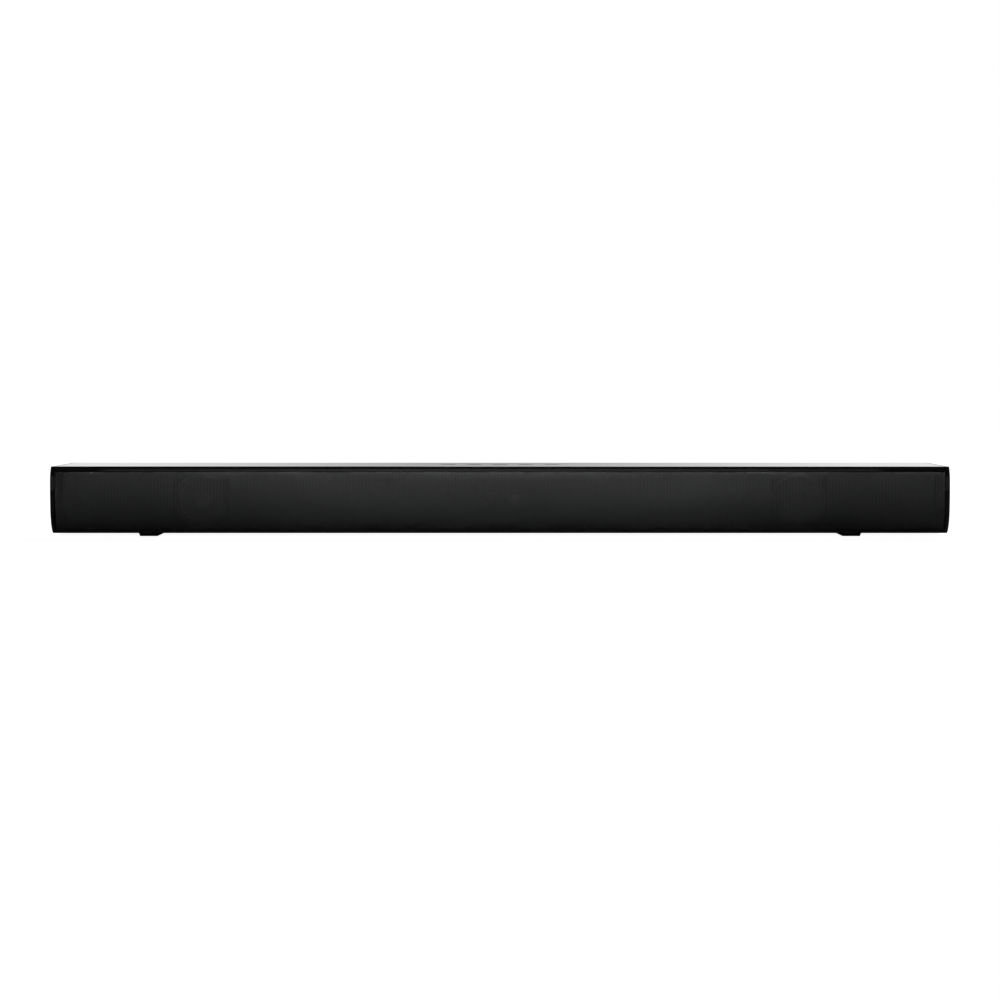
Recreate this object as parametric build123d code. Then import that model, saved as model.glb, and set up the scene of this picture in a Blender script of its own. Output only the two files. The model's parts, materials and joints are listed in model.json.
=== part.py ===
from build123d import *
import os
from math import asin, cos, degrees, radians, sin, tan

# Soundbar. X runs along the bar, the grille faces -Y, and Z = 0 is the surface it stands on.
# All sizes are in millimetres, and the origin is under the middle of the bar.

# Cabinet
LENGTH = 816.0
DEPTH = 100.0
HEIGHT = 64.2
FOOT_H = 3.0
WALL = 2.5
SLIP = 0.2              # gap between pieces that slide into each other
FRONT = -DEPTH / 2
BACK = DEPTH / 2
BASE = FOOT_H
INNER_BASE = BASE + WALL
INNER_TOP = HEIGHT - WALL
SIDES = {"left": -1, "right": 1}

# Outline of the cabinet across its length
CROWN_R = 200.0         # faint curve of the middle of the front
CROWN_Z = 38.0          # height of its foremost line
CROWN_HALF = 14.0       # how far it reaches above and below that line
LOW_R = 36.0            # curve that draws the front in towards its lower lip
LOW_TURN = 34.0         # slope at the end of that curve, degrees
HIGH_R = 20.0           # curve from the front up to the edge of the top
TOP_R = 2.0             # front edge of the top
BACK_TOP_R = 3.0
BACK_BASE_R = 4.0

# End caps and seams
CAP_T = 3.4
CAP_GAP = 0.8
SHELL_X = LENGTH / 2 - CAP_T - CAP_GAP
SPIGOT_L = 8.0
SPIGOT_T = 2.0
SEAM_Z = 59.8           # lower edge of the top cover
LIP_Z = 6.75            # upper edge of the housing's front lip

# Grille
GRILLE_INSET = 0.5
GRILLE_T = 1.0
GRILLE_GAP = 0.4
GRILLE_PEG_R = 1.5
GRILLE_PEG_X = (50.0, 200.0, 335.0, 388.0)

# Baffle and drivers
BAFFLE_FRONT = -41.0
BAFFLE_T = 3.0
BAFFLE_BACK = BAFFLE_FRONT + BAFFLE_T
BAFFLE_X = 395.0
MID_Z = (INNER_BASE + INNER_TOP) / 2
DRIVER_X = 272.0
FLANGE = 52.0
FLANGE_T = 1.5
FLANGE_HOLE_R = 23.0
FLANGE_SCREW = 21.0
CONE_R = 19.2
COIL_R = 7.0
POLE_R = 6.2
GAP_R = 7.7
PLATE_R = 17.0
MAGNET_R = 18.0

# Chambers, ports and wall mount
PARTITION_X = 160.0
PARTITION_T = 2.0
LEAD_Y = -17.0          # where the speaker leads pass the partitions
LEAD_Z = 26.0
LEAD_R = 1.3
PORT_X = 345.0
PORT_R = 12.0
PORT_WALL = 2.0
PORT_FLANGE_R = 19.0
PORT_FLANGE_T = 1.2
PORT_INNER_Y = -5.0
KEYHOLE_X = 210.0
KEYHOLE_Z = 34.0
KEYHOLE_R = 4.6
KEYHOLE_SLOT_R = 2.4
KEYHOLE_RISE = 12.0
KEYHOLE_PLATE_T = 1.2

# Feet
FOOT_IN, FOOT_OUT = 313.5, 329.5        # the sole, from the middle of the bar
FOOT_TOP_IN, FOOT_TOP_OUT = 308.5, 330.7
FOOT_L = 30.0
FOOT_Y = {"front": -34.0, "rear": 12.0}
FOOT_PEG_R = 2.5

# Screw posts that join the housing and the top cover
POSTS = [(-385, 38), (-180, 38), (180, 38), (385, 38),
         (-385, -28), (-180, -28), (0, -28), (180, -28), (385, -28)]
POST_R = 4.2
POST_SPLIT_Z = 30.0
POST_SEAT_Z = 26.0
BLOCK_X = (-374.0, -150.0, 150.0, 374.0)
BLOCK_Z = {"low": 11.0, "high": 55.0}

# Socket panel in the back
TRAY_X = 100.0
TRAY_Z0, TRAY_Z1 = 11.0, 43.0
TRAY_WALL = 2.0
TRAY_FLOOR_Y = 35.5
TRAY_FLANGE_X = 110.0
TRAY_FLANGE_Z = 3.0
TRAY_FLANGE_T = 1.6
TRAY_SCREWS = [(-105, 14), (-105, 40), (105, 14), (105, 40)]
SOCKET_FACE_Y = 36.0

# Boards
BOARD_T = 1.6
MAIN_X0, MAIN_X1, MAIN_Y0, MAIN_Y1, MAIN_Z = -92.0, 40.0, -20.0, 31.0, 16.0
MAIN_TOP = MAIN_Z + BOARD_T
CHIP_T = 1.4
MAIN_SCREWS = [(-86, -14), (34, -14), (-86, 25), (34, 25)]
POWER_X0, POWER_X1, POWER_Y0, POWER_Y1, POWER_Z = 55.0, 150.0, -22.0, 20.0, 10.0
POWER_TOP = POWER_Z + BOARD_T
POWER_SCREWS = [(60, -17), (145, -17), (60, 15), (145, 15)]
HDMI_X, USB_X, OPTICAL_X, AUX_X = 18.0, -14.0, -44.0, -72.0
INLET_X, INLET_Z = 72.0, 27.0
INLET_PIN_X = 4.3
INLET_PIN_R = 1.15
AUX_R = 1.78
AUX_Z = MAIN_TOP + 3.5
SHUTTER_Y = 35.0
SHUTTER_Z = 26.8

# Buttons on the top
BUTTON_NAMES = ("power_button", "source_button", "pairing_button",
                "volume_down_button", "volume_up_button")
BUTTON_PITCH = 24.0
BUTTON_L, BUTTON_W = 14.0, 6.5
BUTTON_GAP = 0.25
BUTTON_SINK = 0.2
BUTTON_X = {name: (i - 2) * BUTTON_PITCH for i, name in enumerate(BUTTON_NAMES)}
CONTROL_X = 62.0
CONTROL_Y = 8.0
CONTROL_Z = 51.9
CONTROL_TOP = 53.1
SWITCH_TOP = CONTROL_TOP + 3.9
STEM_GAP = 0.7          # free space between a switch and the stem over it
CONTROL_SCREWS = [(-58.5, 5), (58.5, 5)]
RIBBON_Y = -3.0
RIBBON_W = 7.0


def box(x0, x1, y0, y1, z0, z1):
    """Solid box between two corners."""
    return Pos((x0 + x1) / 2, (y0 + y1) / 2, (z0 + z1) / 2) * Box(x1 - x0, y1 - y0, z1 - z0)


def rod_x(y, z, x0, x1, r):
    """Cylinder along X."""
    return Pos((x0 + x1) / 2, y, z) * Rot(0, 90, 0) * Cylinder(r, x1 - x0)


def rod_y(x, z, y0, y1, r):
    """Cylinder along Y."""
    return Pos(x, (y0 + y1) / 2, z) * Rot(90, 0, 0) * Cylinder(r, y1 - y0)


def rod_z(x, y, z0, z1, r):
    """Cylinder along Z."""
    return Pos(x, y, (z0 + z1) / 2) * Cylinder(r, z1 - z0)


def ring(r0, r1, z0, z1):
    """Flat ring about the Z axis."""
    height = z1 - z0
    return Pos(0, 0, (z0 + z1) / 2) * (Cylinder(r1, height) - Cylinder(r0, height))


def slot_prism(length, width, z0, z1):
    """Prism with rounded ends, long along X."""
    return extrude(Pos(0, 0, z0) * SlotOverall(length, width), z1 - z0)


def beside(centre, distance, slope):
    """Point in the YZ plane at a distance from a centre, towards the front and up by slope degrees."""
    return (centre[0] - distance * cos(radians(slope)), centre[1] + distance * sin(radians(slope)))


def section(inset=0.0):
    """Closed outline across the cabinet in the YZ plane, pulled in all round by inset."""
    crown_turn = degrees(asin(CROWN_HALF / CROWN_R))
    crown = (FRONT + CROWN_R, CROWN_Z)
    low = beside(crown, CROWN_R - LOW_R, -crown_turn)
    base_r = (low[1] - LOW_R * sin(radians(LOW_TURN)) - BASE) / (1 - sin(radians(LOW_TURN)))
    base = beside(low, LOW_R - base_r, -LOW_TURN)
    high = beside(crown, CROWN_R - HIGH_R, crown_turn)
    top_turn = degrees(asin((HEIGHT - TOP_R - high[1]) / (HIGH_R - TOP_R)))
    top = beside(high, HIGH_R - TOP_R, top_turn)
    with BuildSketch(Plane.YZ) as outline:
        with BuildLine():
            CenterArc(crown, CROWN_R, 180 - crown_turn, 2 * crown_turn)
            CenterArc(high, HIGH_R, 180 - crown_turn, crown_turn - top_turn)
            CenterArc(top, TOP_R, 180 - top_turn, top_turn - 90)
            Line((top[0], HEIGHT), (BACK - BACK_TOP_R, HEIGHT))
            CenterArc((BACK - BACK_TOP_R, HEIGHT - BACK_TOP_R), BACK_TOP_R, 90, -90)
            Line((BACK, HEIGHT - BACK_TOP_R), (BACK, BASE + BACK_BASE_R))
            CenterArc((BACK - BACK_BASE_R, BASE + BACK_BASE_R), BACK_BASE_R, 0, -90)
            Line((BACK - BACK_BASE_R, BASE), (base[0], BASE))
            CenterArc(base, base_r, 270, LOW_TURN - 90)
            CenterArc(low, LOW_R, 180 + LOW_TURN, crown_turn - LOW_TURN)
        make_face()
    if inset == 0:
        return outline.sketch
    return offset(outline.sketch, -inset, kind=Kind.INTERSECTION)


def slab(face, x0, x1):
    """Outline in the YZ plane drawn out from x0 to x1."""
    return extrude(Pos(x0, 0, 0) * face, x1 - x0, dir=(1, 0, 0))


def shell(inset, thickness, half_length):
    """Closed tube with the cabinet's outline."""
    return slab(section(inset) - section(inset + thickness), -half_length, half_length)


# ---------------------------------------------------------------- cabinet

def screw_block(x, z):
    """Block behind the baffle that takes one of its screws."""
    if z < MID_Z:
        block = box(x - 4, x + 4, BAFFLE_BACK, BAFFLE_BACK + 10, INNER_BASE - 0.5, z + 5)
    else:
        block = box(x - 4, x + 4, BAFFLE_BACK, BAFFLE_BACK + 10, z - 5, INNER_TOP + 0.5)
    return block - rod_y(x, z, BAFFLE_BACK, BAFFLE_BACK + 9, 1.3)


def partition(side):
    """Wall between the middle bay and a speaker chamber."""
    x = side * PARTITION_X
    wall = slab(section(WALL), x - PARTITION_T / 2, x + PARTITION_T / 2)
    wall &= box(x - 5, x + 5, BAFFLE_BACK, BACK, 0, INNER_TOP - 0.1)
    return wall - rod_x(LEAD_Y, LEAD_Z, x - 5, x + 5, 4)


def housing_posts():
    """Every post that stands on the floor of the housing."""
    posts = [rod_z(x, y, INNER_BASE - 0.5, POST_SPLIT_Z, POST_R) for x, y in POSTS]
    posts += [rod_z(x, y, INNER_BASE - 0.5, MAIN_Z, 3) for x, y in MAIN_SCREWS]
    posts += [rod_z(x, y, INNER_BASE - 0.5, POWER_Z, 3) for x, y in POWER_SCREWS]
    posts += [rod_y(x, z, 40, BACK - WALL + 0.3, 3.6) for x, z in TRAY_SCREWS]
    return posts


def housing_holes():
    """Every screw hole in the housing."""
    holes = [rod_z(x, y, 0, POST_SEAT_Z, 3.4) for x, y in POSTS]
    holes += [rod_z(x, y, POST_SEAT_Z - 1, POST_SPLIT_Z, 1.8) for x, y in POSTS]
    holes += [rod_z(x, y, MAIN_Z - 8, MAIN_Z, 1.3) for x, y in MAIN_SCREWS]
    holes += [rod_z(x, y, POWER_Z - 4.5, POWER_Z, 1.3) for x, y in POWER_SCREWS]
    holes += [rod_y(x, z, 41, BACK, 1.3) for x, z in TRAY_SCREWS]
    return holes


def keyhole_window(side):
    """Opening in the back wall that shows a keyhole plate."""
    return box(side * KEYHOLE_X - 8, side * KEYHOLE_X + 8, BACK - 5, BACK + 5,
               KEYHOLE_Z - 8, KEYHOLE_Z + KEYHOLE_RISE + 6)


def keyhole_pegs(x):
    """Moulded pegs that hold a keyhole plate to the back wall."""
    return [rod_y(x + dx, KEYHOLE_Z + dz, BACK - WALL - 2.2, BACK - WALL + 0.3, 1.5)
            for dx in (-11, 11) for dz in (-8, 18)]


def in_lengths(housing):
    """The housing's three mouldings, which meet behind the partitions."""
    meet = PARTITION_X + PARTITION_T / 2 + SLIP / 2
    spans = [(-SHELL_X, -meet - SLIP / 2), (-meet + SLIP / 2, meet - SLIP / 2), (meet + SLIP / 2, SHELL_X)]
    return [housing & box(x0, x1, FRONT - 5, BACK + 5, 0, HEIGHT) for x0, x1 in spans]


def rear_housing():
    """Floor, front lip and back wall of the cabinet, in three lengths."""
    housing = shell(0, WALL, SHELL_X)
    housing -= box(-SHELL_X, SHELL_X, FRONT - 5, -30, LIP_Z, HEIGHT + 5)
    housing -= box(-SHELL_X, SHELL_X, FRONT - 5, BACK + 5, SEAM_Z - SLIP, HEIGHT + 5)
    housing += housing_posts()
    for side in SIDES.values():
        housing += partition(side)
        housing += keyhole_pegs(side * KEYHOLE_X)
        housing -= keyhole_window(side)
        housing -= rod_y(side * PORT_X, MID_Z, 40, BACK, PORT_R + PORT_WALL + SLIP)
        housing -= rod_y(side * PORT_X, MID_Z, BACK - PORT_FLANGE_T, BACK + 1, PORT_FLANGE_R + SLIP)
        for y in FOOT_Y.values():
            housing -= rod_z(side * foot_middle(), y + FOOT_L / 2, 0, 8, FOOT_PEG_R + 0.1)
    housing += [screw_block(x, BLOCK_Z["low"]) for x in BLOCK_X]
    housing -= box(-TRAY_X - SLIP, TRAY_X + SLIP, 40, BACK + 1, TRAY_Z0 - SLIP, TRAY_Z1 + SLIP)
    housing -= box(-TRAY_FLANGE_X - SLIP, TRAY_FLANGE_X + SLIP, BACK - TRAY_FLANGE_T, BACK + 1,
                   TRAY_Z0 - TRAY_FLANGE_Z - SLIP, TRAY_Z1 + TRAY_FLANGE_Z + SLIP)
    housing -= label_plate(SLIP)
    return in_lengths(housing - housing_holes())


def label_plate(grow=0.0):
    """Blank plate let into the underside."""
    return box(-130 - grow, -60 + grow, -8 - grow, 20 + grow, BASE, BASE + 0.4)


def button_opening(x):
    """Hole in the top cover round one button."""
    return Pos(x, 0, 0) * slot_prism(BUTTON_L + 2 * BUTTON_GAP, BUTTON_W + 2 * BUTTON_GAP,
                                     INNER_TOP - 1, HEIGHT + 1)


def top_cover():
    """Top of the cabinet, wrapped a little way down its front and back."""
    cover = shell(0, WALL, SHELL_X)
    cover -= box(-SHELL_X, SHELL_X, FRONT - 5, BACK + 5, 0, SEAM_Z)
    cover += [rod_z(x, y, POST_SPLIT_Z, INNER_TOP + 0.5, POST_R) for x, y in POSTS]
    cover += [rod_z(x, y, CONTROL_TOP, INNER_TOP + 0.5, 3) for x, y in CONTROL_SCREWS]
    cover += [screw_block(x, BLOCK_Z["high"]) for x in BLOCK_X]
    cover -= [rod_z(x, y, POST_SPLIT_Z, POST_SPLIT_Z + 14, 1.55) for x, y in POSTS]
    cover -= [rod_z(x, y, CONTROL_TOP, CONTROL_TOP + 7, 1.3) for x, y in CONTROL_SCREWS]
    return cover - [button_opening(x) for x in BUTTON_X.values()]


def end_cap(side):
    """Plate that closes one end, with the spigot that plugs into the shells."""
    outer = LENGTH / 2
    plate = slab(section(), outer - CAP_T, outer)
    plate = chamfer(plate.faces().sort_by(Axis.X)[-1].edges(), 0.4)
    spigot = slab(section(WALL + SLIP) - section(WALL + SLIP + SPIGOT_T),
                  SHELL_X - SPIGOT_L + CAP_GAP, outer - CAP_T)
    cap = plate + spigot
    return cap if side > 0 else mirror(cap, Plane.YZ)


def front_baffle():
    """Board behind the grille that carries the drivers."""
    baffle = slab(section(WALL + SLIP), -BAFFLE_X, BAFFLE_X)
    baffle &= box(-BAFFLE_X, BAFFLE_X, BAFFLE_FRONT, BAFFLE_BACK, 0, HEIGHT)
    flange = FLANGE / 2 + SLIP
    for side in SIDES.values():
        x = side * DRIVER_X
        baffle += [rod_y(x + dx, MID_Z + dz, BAFFLE_BACK, BAFFLE_BACK + 5, 3)
                   for dx, dz in flange_corners()]
        baffle -= box(x - flange, x + flange, BAFFLE_FRONT, BAFFLE_FRONT + FLANGE_T,
                      MID_Z - flange, MID_Z + flange)
        baffle -= rod_y(x, MID_Z, BAFFLE_FRONT, BAFFLE_BACK + 6, FLANGE_HOLE_R + 1.5)
        baffle -= [rod_y(x + dx, MID_Z + dz, BAFFLE_FRONT, BAFFLE_BACK + 4, 1.3)
                   for dx, dz in flange_corners()]
        baffle -= [rod_y(side * px, MID_Z, BAFFLE_FRONT, BAFFLE_BACK, GRILLE_PEG_R + SLIP)
                   for px in GRILLE_PEG_X]
    baffle -= [rod_y(x, z, BAFFLE_FRONT, BAFFLE_BACK, 1.6)
               for x in BLOCK_X for z in BLOCK_Z.values()]
    baffle -= [rod_y(x, MID_Z, BAFFLE_FRONT, BAFFLE_BACK, 1.7) for x in (-12, -4, 4)]
    return baffle - box(10.5, 17.5, BAFFLE_FRONT, BAFFLE_BACK, MID_Z - 4, MID_Z + 4)


def front_grille():
    """Curved sheet that covers the front, with the pegs that hold it to the baffle."""
    half = SHELL_X - SLIP
    sheet = shell(GRILLE_INSET, GRILLE_T, half)
    sheet &= box(-half, half, FRONT, -38, LIP_Z + SLIP, SEAM_Z - GRILLE_GAP)
    sheet += [rod_y(side * x, MID_Z, FRONT + GRILLE_INSET + 0.7, BAFFLE_BACK - 0.5, GRILLE_PEG_R)
              for side in SIDES.values() for x in GRILLE_PEG_X]
    return sheet


def foot_middle():
    """Distance of a foot's peg from the middle of the bar."""
    return (FOOT_IN + FOOT_OUT) / 2


def foot(side, y):
    """Rubber foot with a sloping inner side and a peg."""
    outline = Plane.XZ * make_face(Polyline(
        (FOOT_IN, 0), (FOOT_OUT, 0), (FOOT_TOP_OUT, FOOT_H), (FOOT_TOP_IN, FOOT_H), close=True))
    pad = extrude(outline, FOOT_L, dir=(0, 1, 0))
    pad = fillet(pad.edges().filter_by(Axis.Z, tolerance=60).group_by(Axis.Y)[0], 1.0)
    pad = Pos(0, y, 0) * pad
    pad += rod_z(foot_middle(), y + FOOT_L / 2, FOOT_H - 0.5, FOOT_H + 5, FOOT_PEG_R)
    return pad if side > 0 else mirror(pad, Plane.YZ)


def port_tube(side):
    """Bass port with a flared mouth, open through the back."""
    outer, mouth = PORT_R + PORT_WALL, PORT_R + 3
    length = BACK - PORT_INNER_Y
    with BuildSketch(Plane.XZ) as profile:
        with BuildLine():
            Polyline((PORT_R, length - 4), (PORT_R, 0), (outer, 0), (outer, length - PORT_FLANGE_T),
                     (PORT_FLANGE_R, length - PORT_FLANGE_T), (PORT_FLANGE_R, length),
                     (mouth, length))
            ThreePointArc((mouth, length), (PORT_R + 0.9, length - 1.4), (PORT_R, length - 4))
        make_face()
    tube = revolve(profile.sketch, Axis.Z, 360)
    return Pos(side * PORT_X, PORT_INNER_Y, MID_Z) * Rot(-90, 0, 0) * tube


def keyhole_plate(x):
    """Steel plate that hangs on a wall screw."""
    plate = box(x - 15, x + 15, BACK - WALL - KEYHOLE_PLATE_T, BACK - WALL,
                KEYHOLE_Z - 14, KEYHOLE_Z + 22)
    plate -= rod_y(x, KEYHOLE_Z, 40, BACK, KEYHOLE_R)
    plate -= rod_y(x, KEYHOLE_Z + KEYHOLE_RISE, 40, BACK, KEYHOLE_SLOT_R)
    plate -= box(x - KEYHOLE_SLOT_R, x + KEYHOLE_SLOT_R, 40, BACK, KEYHOLE_Z,
                 KEYHOLE_Z + KEYHOLE_RISE)
    return plate - [rod_y(x + dx, KEYHOLE_Z + dz, 40, BACK, 1.6)
                    for dx in (-11, 11) for dz in (-8, 18)]


# ---------------------------------------------------------------- drivers
# Each driver piece is drawn about the Z axis, with Z = 0 at the front of its flange and
# +Z into the cabinet, and then turned so that +Z lies along +Y.

def flange_corners():
    """Screw places on the driver's flange, from its middle."""
    return [(dx, dz) for dx in (-FLANGE_SCREW, FLANGE_SCREW) for dz in (-FLANGE_SCREW, FLANGE_SCREW)]


def at_driver(side, piece):
    """Put a driver piece in its place in the baffle."""
    return Pos(side * DRIVER_X, BAFFLE_FRONT, MID_Z) * Rot(-90, 0, 0) * piece


def thin_band(start, middle, end, thickness):
    """Thin shell of revolution whose front face is an arc through three (radius, depth) points."""
    def deeper(point):
        return (point[0], point[1] + thickness)

    with BuildSketch(Plane.XZ) as profile:
        with BuildLine():
            ThreePointArc(start, middle, end)
            Line(end, deeper(end))
            ThreePointArc(deeper(end), deeper(middle), deeper(start))
            Line(deeper(start), start)
        make_face()
    return revolve(profile.sketch, Axis.Z, 360)


def driver_frame(side):
    """Steel basket with a square flange, four windows and a terminal tab."""
    flange = extrude(RectangleRounded(FLANGE, FLANGE, 6) - Circle(FLANGE_HOLE_R), FLANGE_T)
    with BuildSketch(Plane.XZ) as profile:
        with BuildLine():
            Polyline((23, FLANGE_T), (24.2, FLANGE_T), (15.2, 15.5), (8.5, 15.5), (8.5, 14.3),
                     (14, 14.3), close=True)
        make_face()
    basket = revolve(profile.sketch, Axis.Z, 360)
    for angle in (45, 135, 225, 315):
        basket -= Rot(0, 0, angle) * box(10, 30, -7, 7, 3.5, 12)
    tab = box(-24.5, -17.6, -4, 4, 9, 10.5) if side > 0 else box(17.6, 24.5, -4, 4, 9, 10.5)
    frame = flange + basket + tab
    frame -= [rod_z(dx, dz, 0, FLANGE_T, 1.6) for dx, dz in flange_corners()]
    return at_driver(side, frame)


def driver_magnet(side):
    """Top plate, ferrite ring, back plate and pole."""
    magnet = ring(GAP_R, PLATE_R, 15.5, 18.5)
    magnet += ring(GAP_R + 1.5, MAGNET_R, 18.5, 26.5)
    magnet += rod_z(0, 0, 26.5, 29.5, PLATE_R)
    magnet += rod_z(0, 0, 15.5, 27, POLE_R)
    return at_driver(side, magnet)


def driver_voice_coil(side):
    """Coil former with its winding in the magnet's gap."""
    coil = ring(COIL_R - 0.25, COIL_R, 9.0, 21.5)
    coil += ring(COIL_R, COIL_R + 0.3, 14.5, 19.5)
    return at_driver(side, coil)


def driver_cone(side):
    """Paper cone from the surround down to the coil former."""
    return at_driver(side, thin_band((COIL_R, 10.6), (12.2, 7.9), (CONE_R, 3.0), 0.5))


def driver_dust_cap(side):
    """Dome over the middle of the cone."""
    return at_driver(side, thin_band((0.01, 5.6), (4.6, 6.4), (8.6, 8.9), 0.4))


def driver_surround(side):
    """Rubber roll from the flange in to the cone, whose inner foot lies deeper."""
    roll_r, roll_depth = 2.0, -0.3
    middle_r = CONE_R + roll_r
    roll = Circle(roll_r + 0.25) - Circle(roll_r - 0.25)
    roll &= Pos(0, -roll_r) * Rectangle(3 * roll_r, 2 * roll_r)
    profile = Pos(middle_r, roll_depth) * roll
    profile += Pos(CONE_R, 1.0) * Rectangle(0.5, 2.6 + 0.01)
    band = revolve(Plane.XZ * profile, Axis.Z, 360)
    return at_driver(side, band + ring(17.8, 19.45, 2.3, 2.8) + ring(22.9, 25, -0.5, 0))


def driver_spider(side):
    """Corrugated disc that centres the coil former."""
    waves = [thin_band((r, 11.6), (r + 1.25, 11.6 + bend), (r + 2.5, 11.6), 0.4)
             for r, bend in ((COIL_R + 0.05, -0.7), (COIL_R + 2.55, 0.7), (COIL_R + 5.05, -0.7))]
    return at_driver(side, waves[0] + waves[1] + waves[2])


# ---------------------------------------------------------------- top controls

def button_mark(name):
    """Shallow mark on a button: ring and bar, square, dot, minus or plus."""
    z0, z1 = HEIGHT - BUTTON_SINK - 0.15, HEIGHT
    if name == "power_button":
        return ring(1.1, 1.5, z0, z1) - box(-0.6, 0.6, 0, 2, z0, z1) + box(-0.2, 0.2, 0, 2, z0, z1)
    if name == "source_button":
        return box(-1.6, 1.6, -1.2, 1.2, z0, z1) - box(-1.2, 1.2, -0.8, 0.8, z0, z1)
    if name == "pairing_button":
        return rod_z(0, 0, z0, z1, 0.8)
    bar = box(-1.6, 1.6, -0.2, 0.2, z0, z1)
    if name == "volume_down_button":
        return bar
    return bar + box(-0.2, 0.2, -1.6, 1.6, z0, z1)


def button(name):
    """Top button: cap, the flange that keeps it in, and the stem over its switch."""
    cap = slot_prism(BUTTON_L, BUTTON_W, INNER_TOP - 0.3, HEIGHT - BUTTON_SINK)
    cap += slot_prism(BUTTON_L + 2.4, BUTTON_W + 2.4, INNER_TOP - 1.3, INNER_TOP - 0.3)
    cap += rod_z(0, 0, SWITCH_TOP + STEM_GAP, INNER_TOP - 1, 1.5)
    return Pos(BUTTON_X[name], 0, 0) * (cap - button_mark(name))


def control_board():
    """Circuit board under the buttons."""
    board = box(-CONTROL_X, CONTROL_X, -CONTROL_Y, CONTROL_Y, CONTROL_Z, CONTROL_TOP)
    board += box(-62, -55.5, RIBBON_Y - 4.5, RIBBON_Y + 4.5, CONTROL_Z - 3, CONTROL_Z + 0.3)
    return board - [rod_z(x, y, CONTROL_Z - 4, CONTROL_TOP, 1.6) for x, y in CONTROL_SCREWS]


def tact_switches():
    """One switch under each button."""
    return [Pos(x, 0, 0) * (box(-3, 3, -3, 3, CONTROL_TOP, CONTROL_TOP + 3)
                            + rod_z(0, 0, CONTROL_TOP + 2.5, SWITCH_TOP, 1.7))
            for x in BUTTON_X.values()]


def led_board():
    """Small upright board behind the middle of the baffle."""
    return box(-20, 20, BAFFLE_BACK + 2, BAFFLE_BACK + 3.2, MID_Z - 6, MID_Z + 6)


def indicator_lenses():
    """Light pipes from the small board out through the baffle."""
    return [rod_y(x, MID_Z, BAFFLE_FRONT - 1, BAFFLE_BACK + 2, 1.5) for x in (-12, -4, 4)]


def remote_receiver():
    """Infrared receiver that looks out through the baffle."""
    body = box(11, 17, BAFFLE_FRONT, BAFFLE_BACK + 2, MID_Z - 3.5, MID_Z + 3.5)
    return body + rod_y(14, MID_Z, BAFFLE_FRONT - 1.2, BAFFLE_FRONT + 0.5, 2.2)


# ---------------------------------------------------------------- electronics

def main_board():
    """Amplifier board with its speaker and ribbon connectors and its two power chips."""
    board = box(MAIN_X0, MAIN_X1, MAIN_Y0, MAIN_Y1, MAIN_Z, MAIN_TOP)
    board += [box(x - 4, x + 4, MAIN_Y0, MAIN_Y0 + 8, MAIN_TOP - 0.3, MAIN_TOP + 6) for x in (-70, 20)]
    board += box(-66, -59, RIBBON_Y - 4.5, RIBBON_Y + 4.5, MAIN_TOP - 0.3, MAIN_TOP + 3.5)
    board += [box(x - 4.5, x + 4.5, -5.5, 3.5, MAIN_TOP - 0.3, MAIN_TOP + CHIP_T) for x in (-38, -12)]
    return board - [rod_z(x, y, MAIN_Z, MAIN_TOP, 1.6) for x, y in MAIN_SCREWS]


def heatsink():
    """Finned aluminium heatsink on the amplifier chips."""
    z = MAIN_TOP + CHIP_T
    fins = [box(x, x + 1.6, -12, 10, z + 2.6, z + 18.6) for x in range(-51, 0, 7)]
    return box(-51, -0.4, -12, 10, z, z + 3) + fins


def wireless_module():
    """Radio board with its metal can."""
    board = box(10, 34, -6, 12, MAIN_TOP, MAIN_TOP + 1)
    return board + box(12, 26, -3, 10, MAIN_TOP + 0.8, MAIN_TOP + 3.2)


def power_board():
    """Board of the mains supply."""
    board = box(POWER_X0, POWER_X1, POWER_Y0, POWER_Y1, POWER_Z, POWER_TOP)
    return board - [rod_z(x, y, POWER_Z, POWER_TOP, 1.6) for x, y in POWER_SCREWS]


def transformer():
    """Ferrite core round a wound bobbin."""
    core = box(104, 132, -12, 10, POWER_TOP, POWER_TOP + 24)
    core -= box(109, 127, -20, 20, POWER_TOP + 4, POWER_TOP + 20)
    return core + rod_z(118, -1, POWER_TOP + 3.5, POWER_TOP + 20.5, 8)


def filter_capacitors():
    """Reservoir capacitors of the mains supply."""
    places = [(72, -8, 8, 26), (92, -8, 8, 26), (82, 9, 5, 20)]
    return [rod_z(x, y, POWER_TOP, POWER_TOP + h, r) for x, y, r, h in places]


# ---------------------------------------------------------------- socket panel

def input_panel():
    """Recessed tray that the sockets look out of."""
    tray = box(-TRAY_X, TRAY_X, TRAY_FLOOR_Y - TRAY_WALL, BACK, TRAY_Z0, TRAY_Z1)
    tray += box(-TRAY_FLANGE_X, TRAY_FLANGE_X, BACK - TRAY_FLANGE_T, BACK,
                TRAY_Z0 - TRAY_FLANGE_Z, TRAY_Z1 + TRAY_FLANGE_Z)
    tray -= box(-TRAY_X + TRAY_WALL, TRAY_X - TRAY_WALL, TRAY_FLOOR_Y, BACK + 1,
                TRAY_Z0 + TRAY_WALL, TRAY_Z1 - TRAY_WALL)
    cuts = [(HDMI_X, 7.8, 0, 6.2), (USB_X, 7.25, 0, 7), (OPTICAL_X, 6, 0, 11)]
    for x, half, low, high in cuts:
        tray -= box(x - half - SLIP, x + half + SLIP, 30, TRAY_FLOOR_Y + 1,
                    MAIN_TOP + low - SLIP, MAIN_TOP + high + SLIP)
    tray -= rod_y(AUX_X, AUX_Z, 30, TRAY_FLOOR_Y + 1, 3.2 + SLIP)
    tray -= box(INLET_X - 12.2, INLET_X + 12.2, 30, TRAY_FLOOR_Y + 1, INLET_Z - 7.7, INLET_Z + 7.7)
    return tray - [countersunk(x, z, SLIP) for x, z in TRAY_SCREWS]


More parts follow.
